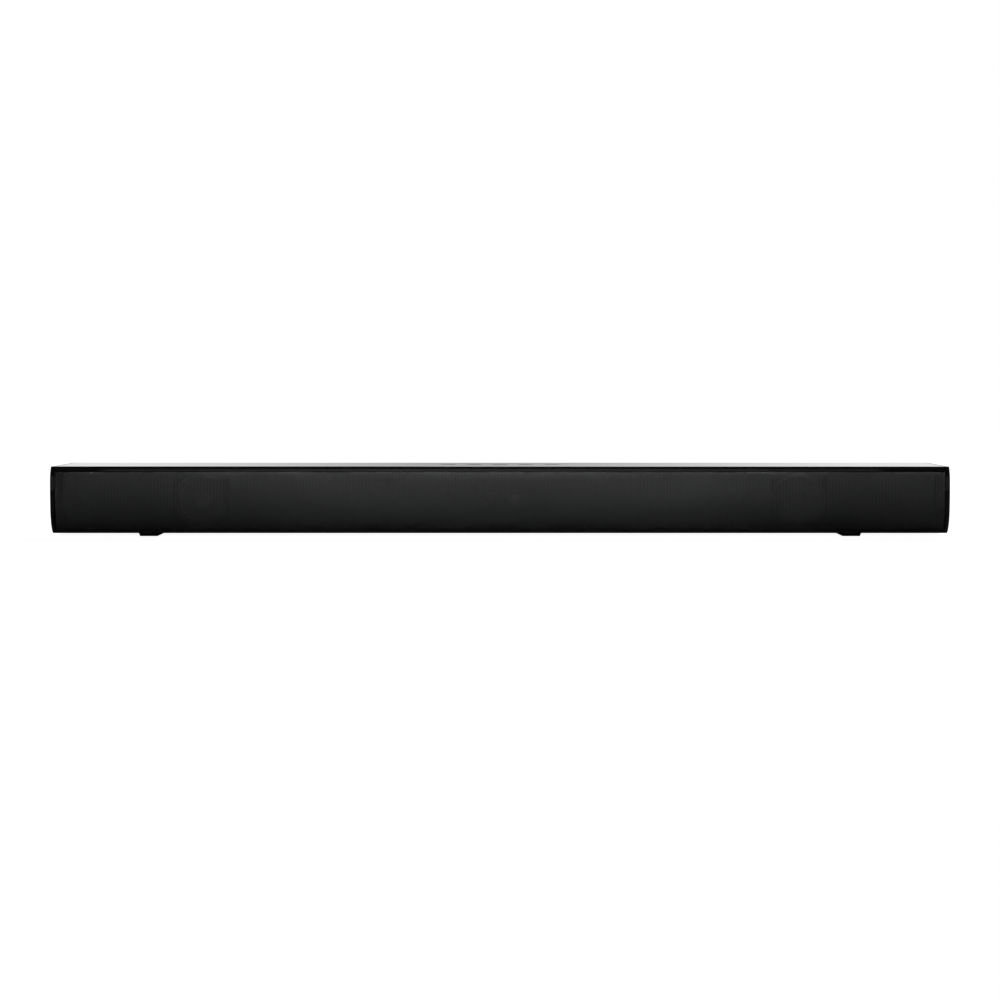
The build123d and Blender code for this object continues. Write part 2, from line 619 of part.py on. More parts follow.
def countersunk(x, z, grow=0.0):
    """Countersunk screw that holds the tray to the back wall."""
    head = Pos(x, BACK - 0.8, z) * Rot(90, 0, 0) * Cone(2.6 + grow, 1.2 + grow, 1.6)
    return head + rod_y(x, z, BACK - 8, BACK - 1, 1.2 + grow / 2)


def hdmi_socket():
    """Flat metal socket with a tongue."""
    z = MAIN_TOP + 3.1
    body = box(HDMI_X - 7.8, HDMI_X + 7.8, 24.5, SOCKET_FACE_Y, MAIN_TOP, MAIN_TOP + 6.2)
    body -= box(HDMI_X - 7.1, HDMI_X + 7.1, 27, SOCKET_FACE_Y + 1, z - 2.3, z + 2.3)
    return body + box(HDMI_X - 5.5, HDMI_X + 5.5, 26.5, SOCKET_FACE_Y - 1.5, z - 0.1, z + 0.9)


def usb_socket():
    """Square metal socket with a tongue."""
    z = MAIN_TOP + 3.5
    body = box(USB_X - 7.25, USB_X + 7.25, 22, SOCKET_FACE_Y, MAIN_TOP, MAIN_TOP + 7)
    body -= box(USB_X - 6.3, USB_X + 6.3, 24.5, SOCKET_FACE_Y + 1, z - 2.6, z + 2.6)
    return body + box(USB_X - 5.6, USB_X + 5.6, 24, SOCKET_FACE_Y - 1.2, z + 0.3, z + 2.1)


def optical_socket():
    """Square optical socket with holes for the pins of its shutter."""
    body = box(OPTICAL_X - 6, OPTICAL_X + 6, 22, SOCKET_FACE_Y, MAIN_TOP, MAIN_TOP + 11)
    body -= box(OPTICAL_X - 4.4, OPTICAL_X + 4.4, 26, SOCKET_FACE_Y + 1, MAIN_TOP + 1.6, SHUTTER_Z + 0.8)
    return body - rod_x(SHUTTER_Y, SHUTTER_Z, OPTICAL_X - 5.2, OPTICAL_X + 5.2, 0.46)


def optical_shutter():
    """Flap that closes the optical socket and swings in."""
    flap = box(OPTICAL_X - 4.2, OPTICAL_X + 4.2, SHUTTER_Y - 0.4, SHUTTER_Y + 0.4,
               SHUTTER_Z - 7, SHUTTER_Z + 0.2)
    return flap + rod_x(SHUTTER_Y, SHUTTER_Z, OPTICAL_X - 4.9, OPTICAL_X + 4.9, 0.4)


def aux_socket():
    """Round 3.5 mm jack socket."""
    body = box(AUX_X - 4, AUX_X + 4, 20, 33.2, MAIN_TOP, MAIN_TOP + 7)
    body += rod_y(AUX_X, AUX_Z, 33, SOCKET_FACE_Y, 3.2)
    return body - rod_y(AUX_X, AUX_Z, 22, SOCKET_FACE_Y + 1, AUX_R)


def power_inlet():
    """Two-pin mains inlet with a figure-of-eight recess."""
    body = box(INLET_X - 12, INLET_X + 12, 22, SOCKET_FACE_Y, INLET_Z - 7.5, INLET_Z + 7.5)
    body -= [rod_y(INLET_X + dx, INLET_Z, 24.5, SOCKET_FACE_Y + 1, 4.3) for dx in (-4, 4)]
    body -= box(INLET_X - 4, INLET_X + 4, 24.5, SOCKET_FACE_Y + 1, INLET_Z - 3.4, INLET_Z + 3.4)
    return body - [rod_y(INLET_X + dx, INLET_Z, 20, 26, INLET_PIN_R + 0.05)
                   for dx in (-INLET_PIN_X, INLET_PIN_X)]


def power_inlet_pins():
    """Round pins of the mains inlet."""
    return [rod_y(INLET_X + dx, INLET_Z, 19, 33.5, INLET_PIN_R) for dx in (-INLET_PIN_X, INLET_PIN_X)]


# ---------------------------------------------------------------- leads

def corner_radii(points):
    """Radius of the arc at each corner of a route, as large as its two runs allow."""
    radii = []
    for before, corner, after in zip(points, points[1:], points[2:]):
        run_in = Vector(corner) - Vector(before)
        run_out = Vector(after) - Vector(corner)
        shorter = min(run_in.length, run_out.length)
        radii.append(0.45 * shorter / tan(radians(run_in.get_angle(run_out) / 2)))
    return radii


def lead(name, points):
    """Round lead along a route of straight runs joined by tangent arcs."""
    radii = corner_radii(points)
    path = FilletPolyline(*points, radius=radii)
    tube = sweep(Plane(origin=path @ 0, z_dir=path % 0) * Circle(LEAD_R), path=path)
    expected = Circle(LEAD_R).area * path.length
    print(name, "radii", [round(r, 1) for r in radii], "volume ratio", round(tube.volume / expected, 4))
    return tube


def speaker_lead(side):
    """Lead from the amplifier board, past the partition, to the driver's tab."""
    tab_x = side * (DRIVER_X - 22)
    tab_y = BAFFLE_FRONT + 10.5
    points = [(tab_x, tab_y, MID_Z), (tab_x, -16, MID_Z), (side * 236, -6, 32),
              (side * 212, -5, 30), (side * 186, -11, 27.5), (side * PARTITION_X, LEAD_Y, LEAD_Z),
              (side * 136, -26, 24.5)]
    if side < 0:
        points += [(-108, -31, 23), (-86, -35, 21.5), (-75.5, -33, 20.8), (-70, -27, 20.8),
                   (-70, MAIN_Y0, 20.8)]
    else:
        points += [(110, -30, 23.5), (82, -31, 22.5), (56, -30, 21.5), (36, -34.5, 21),
                   (25.5, -33, 20.8), (20, -27, 20.8), (20, MAIN_Y0, 20.8)]
    return lead("left_speaker_lead" if side < 0 else "right_speaker_lead", points)


def control_ribbon():
    """Flat ribbon from the control board down to the amplifier board."""
    outer = RectangleRounded(20, 30.5, 5)
    loop = extrude(Plane.XZ * Pos(-66, 34.65) * (outer - offset(outer, -0.4)), RIBBON_W / 2, both=True)
    loop = Pos(0, RIBBON_Y, 0) * loop
    return (loop & box(-80, -62, -10, 6, 19, 50)) - box(-66, -60, -10, 6, 19, 34)


# ---------------------------------------------------------------- screws

def pan_screw(length, shaft_r, head_r, head_h):
    """Pan-head screw about Z, with its head below Z = 0 and its shaft above."""
    screw = rod_z(0, 0, -head_h, 0, head_r) + rod_z(0, 0, -0.2, length, shaft_r)
    return screw - (box(-head_r, head_r, -0.3, 0.3, -head_h, -head_h + 0.5)
                    + box(-0.3, 0.3, -head_r, head_r, -head_h, -head_h + 0.5))


def housing_screws():
    """Long screws up through the housing's posts into the top cover."""
    return [Pos(x, y, POST_SEAT_Z) * pan_screw(16, 1.5, 3.0, 2.0) for x, y in POSTS]


def baffle_screws():
    """Screws from the front of the baffle into the blocks behind it."""
    return [Pos(x, BAFFLE_FRONT, z) * Rot(-90, 0, 0) * pan_screw(10, 1.25, 2.6, 1.3)
            for x in BLOCK_X for z in BLOCK_Z.values()]


def driver_screws():
    """Screws that hold the drivers to the baffle."""
    return [Pos(side * DRIVER_X + dx, BAFFLE_FRONT, MID_Z + dz) * Rot(-90, 0, 0)
            * pan_screw(6.5, 1.25, 2.4, 1.2)
            for side in SIDES.values() for dx, dz in flange_corners()]


def board_screws():
    """Screws that hold the circuit boards."""
    down = Rot(180, 0, 0) * pan_screw(6, 1.25, 2.6, 1.3)
    short = Rot(180, 0, 0) * pan_screw(5, 1.25, 2.6, 1.3)
    up = pan_screw(6, 1.25, 2.6, 1.3)
    screws = [Pos(x, y, MAIN_TOP) * down for x, y in MAIN_SCREWS]
    screws += [Pos(x, y, POWER_TOP) * short for x, y in POWER_SCREWS]
    return screws + [Pos(x, y, CONTROL_Z) * up for x, y in CONTROL_SCREWS]


def panel_screws():
    """Countersunk screws of the socket panel."""
    return [countersunk(x, z) for x, z in TRAY_SCREWS]


# ---------------------------------------------------------------- assembly

def build_nodes():
    """Every piece of the soundbar by name."""
    nodes = {
        "rear_housing": rear_housing(), "top_cover": top_cover(), "front_baffle": front_baffle(),
        "front_grille": front_grille(), "rating_plate": label_plate(),
        "keyhole_plates": [keyhole_plate(side * KEYHOLE_X) for side in SIDES.values()],
        "control_board": control_board(), "tact_switches": tact_switches(),
        "led_board": led_board(), "indicator_lenses": indicator_lenses(),
        "remote_receiver": remote_receiver(), "main_board": main_board(),
        "heatsink": heatsink(),
        "wireless_module": wireless_module(), "power_board": power_board(),
        "transformer": transformer(), "filter_capacitors": filter_capacitors(),
        "input_panel": input_panel(), "hdmi_socket": hdmi_socket(), "usb_socket": usb_socket(),
        "optical_socket": optical_socket(), "optical_shutter": optical_shutter(),
        "aux_socket": aux_socket(), "power_inlet": power_inlet(),
        "power_inlet_pins": power_inlet_pins(), "control_ribbon": control_ribbon(),
        "housing_screws": housing_screws(), "baffle_screws": baffle_screws(),
        "driver_screws": driver_screws(), "board_screws": board_screws(),
        "panel_screws": panel_screws(),
    }
    for name in BUTTON_NAMES:
        nodes[name] = button(name)
    driver_pieces = {"frame": driver_frame, "magnet": driver_magnet, "voice_coil": driver_voice_coil,
                     "cone": driver_cone, "dust_cap": driver_dust_cap, "surround": driver_surround,
                     "spider": driver_spider}
    for word, side in SIDES.items():
        nodes[word + "_end_cap"] = end_cap(side)
        nodes[word + "_port_tube"] = port_tube(side)
        nodes[word + "_speaker_lead"] = speaker_lead(side)
        for row, y in FOOT_Y.items():
            nodes[row + "_" + word + "_foot"] = foot(side, y)
        for piece, make in driver_pieces.items():
            nodes[word + "_driver_" + piece] = make(side)
    return nodes


def write_step(name, shape):
    """Write one piece, or one group of like pieces, to its own file."""
    solids = shape if isinstance(shape, list) else [shape]
    solids = [solid for piece in solids for solid in piece.solids()]
    export_step(solids[0] if len(solids) == 1 else Compound(children=solids), f"parts/{name}.step")


os.makedirs("parts", exist_ok=True)
for node_name, node_shape in build_nodes().items():
    write_step(node_name, node_shape)
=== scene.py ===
import json
from math import asin, cos, pi, radians, sin, sqrt

import bpy
import numpy as np
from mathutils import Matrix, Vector


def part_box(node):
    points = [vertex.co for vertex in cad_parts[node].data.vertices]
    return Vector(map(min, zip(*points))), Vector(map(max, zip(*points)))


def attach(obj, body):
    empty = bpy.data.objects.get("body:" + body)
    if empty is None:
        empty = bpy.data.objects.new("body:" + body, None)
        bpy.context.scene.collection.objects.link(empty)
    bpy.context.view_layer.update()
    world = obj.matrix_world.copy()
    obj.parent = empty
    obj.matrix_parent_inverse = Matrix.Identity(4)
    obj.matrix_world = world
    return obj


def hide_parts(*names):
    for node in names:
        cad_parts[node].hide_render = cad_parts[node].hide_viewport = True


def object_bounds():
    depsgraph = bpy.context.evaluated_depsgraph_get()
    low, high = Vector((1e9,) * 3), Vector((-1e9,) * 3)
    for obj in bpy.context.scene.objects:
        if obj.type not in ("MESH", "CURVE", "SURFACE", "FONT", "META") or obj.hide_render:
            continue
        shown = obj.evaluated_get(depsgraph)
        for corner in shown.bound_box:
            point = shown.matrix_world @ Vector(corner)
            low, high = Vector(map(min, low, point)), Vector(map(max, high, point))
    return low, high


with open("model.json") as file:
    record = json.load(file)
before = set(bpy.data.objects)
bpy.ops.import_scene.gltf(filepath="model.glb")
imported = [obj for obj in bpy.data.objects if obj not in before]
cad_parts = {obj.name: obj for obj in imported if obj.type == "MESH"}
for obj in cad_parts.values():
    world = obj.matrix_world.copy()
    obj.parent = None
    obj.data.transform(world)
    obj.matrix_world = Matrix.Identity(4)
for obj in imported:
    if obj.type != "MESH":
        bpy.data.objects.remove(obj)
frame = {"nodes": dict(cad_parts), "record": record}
cad_low, cad_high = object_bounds()
MM = 0.001

# Cabinet, in the CAD model's sizes
FRONT_Y = cad_low[1]
CROWN_R, CROWN_Z, CROWN_HALF = 200 * MM, 38 * MM, 14 * MM
LOW_R, LOW_TURN = 36 * MM, 34.0
HIGH_R, TOP_R, BASE_Z = 20 * MM, 2 * MM, 3 * MM
GRILLE_INSET, GRILLE_T = 0.5 * MM, 1.0 * MM

# Perforation
HOLE_PITCH = 1.5 * MM
HOLE_R = 0.65 * MM
EDGE_MARGIN = 0.3 * MM    # least solid metal beyond the outermost holes
HEM = 0.4 * MM            # how much shorter the sheet is at its upper and lower edges
GRILLE_SECTIONS = 5

# Pegs behind the grille
PEG_X = (50 * MM, 200 * MM, 335 * MM, 388 * MM)
PEG_R, PEG_FOOT_R = 1.5 * MM, 3.0 * MM
PEG_START = 1.1 * MM      # depth of a peg's foot behind the sheet's front
PEG_SIDES = 24

# Camera, 1.9 m in front of the bar and a little above it
CAMERA_Y = FRONT_Y - 1.9
CAMERA_Z = 0.1402
CAMERA_DIP = 3.20
CAMERA_LENS = 75.57

# Studio, in metres
FLOOR_HALF = 6.0
BACKDROP_Y, BACKDROP_HALF, BACKDROP_TOP = 3.2, 3.0, 1.2
PATCH_X, PATCH_Z = -0.046, 0.187                  # middle of the backdrop's grey patch
PATCH_HALF_WIDTH, PATCH_HALF_HEIGHT = 0.92, 0.1
WALL_GLOW, PATCH_GLOW = 0.9, 0.34

# Front lights, raised above the top of the grille: angle in degrees, and distance in metres
KEY_ANGLE, KEY_DISTANCE, KEY_HEIGHT, KEY_SPREAD = 45, 0.8, 0.03, 6
KEYS = ((1.0, 0.074), (0.58, 0.023), (0.4, 0.016))               # width, watts
LIP_ANGLE, LIP_DISTANCE, LIP_HEIGHT = 61, 0.9, 0.14
LIPS = ((1.04, 0.09), (0.76, 0.045), (0.5, 0.04), (0.26, 0.035))  # width, watts for each metre of it
LIP_X, LIP_STEP_X, LIP_STEP = -0.01, -0.013, -0.01               # first place, and steps inwards


# ---------------------------------------------------------------- camera, light and stage

def add_camera():
    """Camera at the viewing angle of the front, tipped down a little."""
    data = bpy.data.cameras.new("camera")
    data.lens = CAMERA_LENS
    data.sensor_width = 36.0
    camera = bpy.data.objects.new("camera", data)
    camera.location = (0, CAMERA_Y, CAMERA_Z)
    camera.rotation_euler = (radians(90 - CAMERA_DIP), 0, 0)
    bpy.context.collection.objects.link(camera)
    bpy.context.scene.camera = camera


def add_softbox(name, place, target, width, height, watts):
    """Rectangular light at a place, facing a target."""
    data = bpy.data.lights.new(name, "AREA")
    data.shape = "RECTANGLE"
    data.size, data.size_y = width, height
    data.energy = watts
    light = bpy.data.objects.new(name, data)
    light.location = place
    aim = Vector(target) - Vector(place)
    light.rotation_euler = aim.to_track_quat("-Z", "Y").to_euler()
    bpy.context.collection.objects.link(light)
    return light


def camera_split(tree, seen, lit):
    """Shader that shows one thing to the camera and another to every other ray."""
    path = tree.nodes.new("ShaderNodeLightPath")
    mix = tree.nodes.new("ShaderNodeMixShader")
    tree.links.new(path.outputs["Is Camera Ray"], mix.inputs["Fac"])
    tree.links.new(lit.outputs[0], mix.inputs[1])
    tree.links.new(seen.outputs[0], mix.inputs[2])
    return mix


def emitter(tree, strength):
    """White emission shader."""
    node = tree.nodes.new("ShaderNodeEmission")
    node.inputs["Color"].default_value = (1, 1, 1, 1)
    node.inputs["Strength"].default_value = strength
    return node


def add_world():
    """White to the camera, and a dim even fill for the object."""
    world = bpy.data.worlds.new("studio")
    bpy.context.scene.world = world
    world.use_nodes = True
    tree = world.node_tree
    tree.nodes.clear()
    seen = tree.nodes.new("ShaderNodeBackground")
    seen.inputs["Color"].default_value = (1, 1, 1, 1)
    fill = tree.nodes.new("ShaderNodeBackground")
    fill.inputs["Color"].default_value = (0.95, 0.97, 1.0, 1)
    fill.inputs["Strength"].default_value = 0.03
    out = tree.nodes.new("ShaderNodeOutputWorld")
    tree.links.new(camera_split(tree, seen, fill).outputs[0], out.inputs["Surface"])


def stage_plane(name, corners, material):
    """Flat four-cornered piece of the studio."""
    mesh = bpy.data.meshes.new(name)
    mesh.from_pydata(corners, [], [(0, 1, 2, 3)])
    mesh.materials.append(material)
    plane = bpy.data.objects.new(name, mesh)
    bpy.context.collection.objects.link(plane)


def floor_material():
    """Pale floor: near white to the camera with a faint contact shadow."""
    material = bpy.data.materials.new("studio_floor")
    material.use_nodes = True
    tree = material.node_tree
    tree.nodes.clear()
    pale = tree.nodes.new("ShaderNodeBsdfDiffuse")
    pale.inputs["Color"].default_value = (0.5, 0.5, 0.5, 1)
    add = tree.nodes.new("ShaderNodeAddShader")
    tree.links.new(pale.outputs[0], add.inputs[0])
    tree.links.new(emitter(tree, 0.96).outputs[0], add.inputs[1])
    dull = tree.nodes.new("ShaderNodeBsdfDiffuse")
    dull.inputs["Color"].default_value = (0.4, 0.4, 0.4, 1)
    out = tree.nodes.new("ShaderNodeOutputMaterial")
    tree.links.new(camera_split(tree, add, dull).outputs[0], out.inputs["Surface"])
    return material


def backdrop_material():
    """White backdrop that the gloss top mirrors, with a soft grey patch low in its middle."""
    material = bpy.data.materials.new("studio_backdrop")
    material.use_nodes = True
    tree = material.node_tree
    tree.nodes.clear()
    place = tree.nodes.new("ShaderNodeTexCoord")
    patch = tree.nodes.new("ShaderNodeMapping")
    patch.inputs["Scale"].default_value = (1 / PATCH_HALF_WIDTH, 0, 1 / PATCH_HALF_HEIGHT)
    patch.inputs["Location"].default_value = (-PATCH_X / PATCH_HALF_WIDTH, 0, -PATCH_Z / PATCH_HALF_HEIGHT)
    fall = tree.nodes.new("ShaderNodeTexGradient")
    fall.gradient_type = "SPHERICAL"
    level = tree.nodes.new("ShaderNodeMapRange")
    level.inputs["To Min"].default_value = WALL_GLOW
    level.inputs["To Max"].default_value = PATCH_GLOW
    lit = emitter(tree, WALL_GLOW)
    out = tree.nodes.new("ShaderNodeOutputMaterial")
    tree.links.new(place.outputs["Object"], patch.inputs["Vector"])
    tree.links.new(patch.outputs["Vector"], fall.inputs["Vector"])
    tree.links.new(fall.outputs["Fac"], level.inputs["Value"])
    tree.links.new(level.outputs["Result"], lit.inputs["Strength"])
    split = camera_split(tree, emitter(tree, 1.0), lit)
    tree.links.new(split.outputs[0], out.inputs["Surface"])
    return material


def raised_light(name, x, elevation, distance, width, height, watts):
    """Softbox in front of the bar, raised by an angle above the top of its grille."""
    edge = (x, FRONT_Y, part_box("front_grille")[1][2])
    place = (x, edge[1] - distance * cos(radians(elevation)),
             edge[2] + distance * sin(radians(elevation)))
    return add_softbox(name, place, edge, width, height, watts)


def build_stage():
    """Floor, backdrop and lights."""
    side, half, y, top = FLOOR_HALF, BACKDROP_HALF, BACKDROP_Y, BACKDROP_TOP
    stage_plane("floor", [(-side, -side, 0), (side, -side, 0), (side, side, 0), (-side, side, 0)],
                floor_material())
    stage_plane("backdrop", [(-half, y, 0), (half, y, 0), (half, y, top), (-half, y, top)],
                backdrop_material())
    for step, (width, watts) in enumerate(KEYS):
        key = raised_light(f"key_{step}", 0, KEY_ANGLE, KEY_DISTANCE, width, KEY_HEIGHT, watts)
        key.data.spread = radians(KEY_SPREAD)
    for step, (width, glow) in enumerate(LIPS):
        raised_light(f"lip_{step}", LIP_X + step * LIP_STEP_X, LIP_ANGLE,
                     LIP_DISTANCE + step * LIP_STEP, width, LIP_HEIGHT, glow * width)
    raised_light("fill", 0, 22, 1.6, 1.8, 0.4, 0.4)
    raised_light("front_card", 0, 8, 2.6, 5.0, 0.8, 2.4)
    back = (0, cad_high[1], cad_high[2] / 2)
    add_softbox("back", (0.5, back[1] + 1.2, back[2] + 1.1), back, 1.4, 0.6, 9)


# ---------------------------------------------------------------- materials

class Finish:
    """One procedural material, built up from layers."""

    def __init__(self, name, colour, roughness, metallic=0.0, specular=0.5, coat=0.0):
        self.material = bpy.data.materials.new(name)
        self.material.use_nodes = True
        self.tree = self.material.node_tree
        self.bsdf = self.tree.nodes["Principled BSDF"]
        self.bsdf.inputs["Base Color"].default_value = (*colour, 1)
        self.bsdf.inputs["Roughness"].default_value = roughness
        self.bsdf.inputs["Metallic"].default_value = metallic
        self.bsdf.inputs["Specular IOR Level"].default_value = specular
        self.bsdf.inputs["Coat Weight"].default_value = coat
        self.bsdf.inputs["Coat Roughness"].default_value = 0.04
        self.place = self.tree.nodes.new("ShaderNodeTexCoord").outputs["Object"]
        self.normal = None

    def stretched(self, scale):
        """Place with each axis scaled on its own."""
        mapping = self.tree.nodes.new("ShaderNodeMapping")
        mapping.inputs["Scale"].default_value = scale
        self.tree.links.new(self.place, mapping.inputs["Vector"])
        return mapping.outputs["Vector"]

    def noise(self, size, detail=2.0, along=None):
        """Noise whose features are about size metres, stretched by along."""
        node = self.tree.nodes.new("ShaderNodeTexNoise")
        node.inputs["Scale"].default_value = 1 / size
        node.inputs["Detail"].default_value = detail
        self.tree.links.new(self.stretched(along) if along else self.place, node.inputs["Vector"])
        return node.outputs["Fac"]

    def cells(self, size):
        """Distance to the nearest of many scattered points, size metres apart."""
        node = self.tree.nodes.new("ShaderNodeTexVoronoi")
        node.inputs["Scale"].default_value = 1 / size
        self.tree.links.new(self.place, node.inputs["Vector"])
        return node.outputs["Distance"]

    def ramp(self, value, low, high, out_low=0.0, out_high=1.0):
        """Value mapped from one range to another."""
        node = self.tree.nodes.new("ShaderNodeMapRange")
        node.inputs["From Min"].default_value = low
        node.inputs["From Max"].default_value = high
        node.inputs["To Min"].default_value = out_low
        node.inputs["To Max"].default_value = out_high
        self.tree.links.new(value, node.inputs["Value"])
        return node.outputs["Result"]

    def tint(self, value, first, second):
        """Base colour that goes from first to second with value."""
        mix = self.tree.nodes.new("ShaderNodeMix")
        mix.data_type = "RGBA"
        mix.inputs["A"].default_value = (*first, 1)
        mix.inputs["B"].default_value = (*second, 1)
        self.tree.links.new(value, mix.inputs["Factor"])
        self.tree.links.new(mix.outputs["Result"], self.bsdf.inputs["Base Color"])
        return self

    def rough(self, value, low, high):
        """Roughness that goes from low to high with value."""
        self.tree.links.new(self.ramp(value, 0.3, 0.7, low, high), self.bsdf.inputs["Roughness"])
        return self

    def relief(self, value, depth, strength=1.0):
        """Bump of about depth metres."""
        node = self.tree.nodes.new("ShaderNodeBump")
        node.inputs["Strength"].default_value = strength
        node.inputs["Distance"].default_value = depth
        self.tree.links.new(value, node.inputs["Height"])
        if self.normal:
            self.tree.links.new(self.normal, node.inputs["Normal"])
        self.normal = node.outputs["Normal"]
        self.tree.links.new(self.normal, self.bsdf.inputs["Normal"])
        return self


def gloss_black():
    """Polished black plastic: faint orange peel, wiping marks and a little dust."""
    finish = Finish("gloss_black", (0.002, 0.002, 0.0025), 0.06, coat=0.25)
    marks = finish.noise(2.5 * MM, 3.0, along=(0.15, 1.0, 1.0))
    finish.tint(finish.noise(60 * MM), (0.0015, 0.0015, 0.002), (0.003, 0.003, 0.0035))
    finish.rough(marks, 0.04, 0.08)
    return finish.relief(finish.noise(5 * MM), 0.004 * MM).material


def textured_black(name, light, grain, low, high):
    """Moulded plastic with a fine spark-eroded grain."""
    finish = Finish(name, (light, light, light), low)
    shade = (light * 0.8, light * 0.8, light * 0.82)
    pale = (light * 1.25, light * 1.25, light * 1.22)
    finish.tint(finish.noise(9 * MM, 4.0), shade, pale)
    finish.rough(finish.noise(3 * grain), low, high)
    finish.relief(finish.noise(grain, 3.0), 0.03 * MM, 0.6)
    return finish.relief(finish.cells(grain * 0.6), 0.015 * MM, 0.4).material


def powder_coat():
    """Matt black powder coat on the perforated steel."""
    finish = Finish("grille_powder_coat", (0.078, 0.078, 0.078), 0.6, specular=0.2)
    finish.tint(finish.noise(0.35 * MM, 3.0), (0.061, 0.062, 0.061), (0.095, 0.096, 0.095))
    finish.rough(finish.noise(0.8 * MM), 0.52, 0.68)
    return finish.relief(finish.noise(0.22 * MM, 2.0), 0.02 * MM, 0.5).material


def rubber(name, light, low, high, depth):
    """Rubber with a soft mottle and a fine grain of some depth."""
    finish = Finish(name, (light, light, light), low, specular=0.35)
    finish.tint(finish.noise(2 * MM, 4.0), (light * 0.7,) * 3, (light * 1.4,) * 3)
    finish.rough(finish.noise(1 * MM), low, high)
    return finish.relief(finish.noise(0.3 * MM, 3.0), depth, 0.7).material


def worked_metal(name, colour, low, high, along=(1, 1, 1)):
    """Bare or plated metal with fine working marks."""
    finish = Finish(name, colour, low, metallic=1.0)
    finish.tint(finish.noise(1.5 * MM, 3.0, along), tuple(c * 0.85 for c in colour),
                tuple(min(1, c * 1.1) for c in colour))
    finish.rough(finish.noise(0.5 * MM, 2.0, along), low, high)
    return finish.relief(finish.noise(0.15 * MM, 2.0, along), 0.01 * MM, 0.5).material


def circuit_board():
    """Dark green solder mask over a hint of tracks."""
    finish = Finish("circuit_board", (0.004, 0.024, 0.010), 0.4)
    tracks = finish.ramp(finish.cells(2.2 * MM), 0.05, 0.12)
    finish.tint(tracks, (0.010, 0.045, 0.018), (0.003, 0.018, 0.008))
    finish.rough(finish.noise(1.2 * MM), 0.36, 0.5)
    return finish.relief(tracks, 0.03 * MM, 0.5).material


def dull(name, colour, grain, low, high, depth=0.03):
    """Unpolished material with a mottled colour and a grain."""
    finish = Finish(name, colour, low)
    finish.tint(finish.noise(4 * grain, 4.0), tuple(c * 0.75 for c in colour),
                tuple(c * 1.25 for c in colour))
    finish.rough(finish.noise(2 * grain), low, high)
    return finish.relief(finish.noise(grain, 3.0), depth * MM, 0.6).material


def clear_lens():
    """Smoked light pipe, dark until it is lit."""
    finish = Finish("lens_clear", (0.12, 0.12, 0.13), 0.1)
    finish.bsdf.inputs["Transmission Weight"].default_value = 0.8
    finish.bsdf.inputs["IOR"].default_value = 1.49
    finish.rough(finish.noise(1 * MM), 0.06, 0.16)
    return finish.relief(finish.noise(0.8 * MM), 0.005 * MM).material


def build_materials():
    """Material for each of the record's slots."""
    return {
        "gloss_black": gloss_black(),
        "satin_black": textured_black("satin_black", 0.016, 0.45 * MM, 0.42, 0.58),
        "grille_steel": powder_coat(),
        "baffle_black": textured_black("baffle_black", 0.006, 0.6 * MM, 0.6, 0.75),
        "foot_rubber": rubber("foot_rubber", 0.022, 0.65, 0.85, 0.03 * MM),
        "button_black": textured_black("button_black", 0.010, 0.3 * MM, 0.22, 0.32),
        "socket_plastic": textured_black("socket_plastic", 0.013, 0.3 * MM, 0.35, 0.5),
        "socket_metal": worked_metal("socket_metal", (0.62, 0.61, 0.58), 0.2, 0.34, (0.2, 1, 1)),
        "plated_steel": worked_metal("plated_steel", (0.5, 0.5, 0.5), 0.28, 0.45),
        "black_steel": worked_metal("black_steel", (0.018, 0.018, 0.019), 0.45, 0.6),
        "circuit_board": circuit_board(),
        "heatsink_alu": worked_metal("heatsink_alu", (0.75, 0.75, 0.76), 0.3, 0.45, (1, 0.1, 1)),
        "ferrite": dull("ferrite", (0.035, 0.035, 0.037), 0.5 * MM, 0.5, 0.7),
        "cone_paper": dull("cone_paper", (0.008, 0.008, 0.008), 0.9 * MM, 0.7, 0.9, 0.08),
        "surround_rubber": rubber("surround_rubber", 0.006, 0.5, 0.7, 0.02 * MM),
        "spider_cloth": dull("spider_cloth", (0.5, 0.36, 0.15), 0.4 * MM, 0.8, 0.95, 0.06),
        "coil_copper": worked_metal("coil_copper", (0.7, 0.33, 0.16), 0.25, 0.4, (1, 0.05, 1)),
        "lead_jacket": dull("lead_jacket", (0.18, 0.015, 0.015), 0.5 * MM, 0.4, 0.55),
        "ribbon": dull("ribbon", (0.6, 0.6, 0.57), 0.8 * MM, 0.4, 0.55, 0.02),
        "lens_clear": clear_lens(),
        "receiver_dark": dull("receiver_dark", (0.011, 0.008, 0.010), 1.2 * MM, 0.4, 0.5, 0.003),
        "label_silver": dull("label_silver", (0.3, 0.3, 0.31), 0.3 * MM, 0.35, 0.5, 0.008),
        "brass_plate": worked_metal("brass_plate", (0.78, 0.7, 0.55), 0.2, 0.3),
    }


def finish_nodes(materials):
    """Give every CAD piece the material of its slot."""
    slots = {s["node"]: s["material_slot"] for s in frame["record"]["subparts"]}
    for name, node in frame["nodes"].items():
        for slot in node.material_slots:
            slot.material = materials[slots[name]]


# ---------------------------------------------------------------- perforated grille

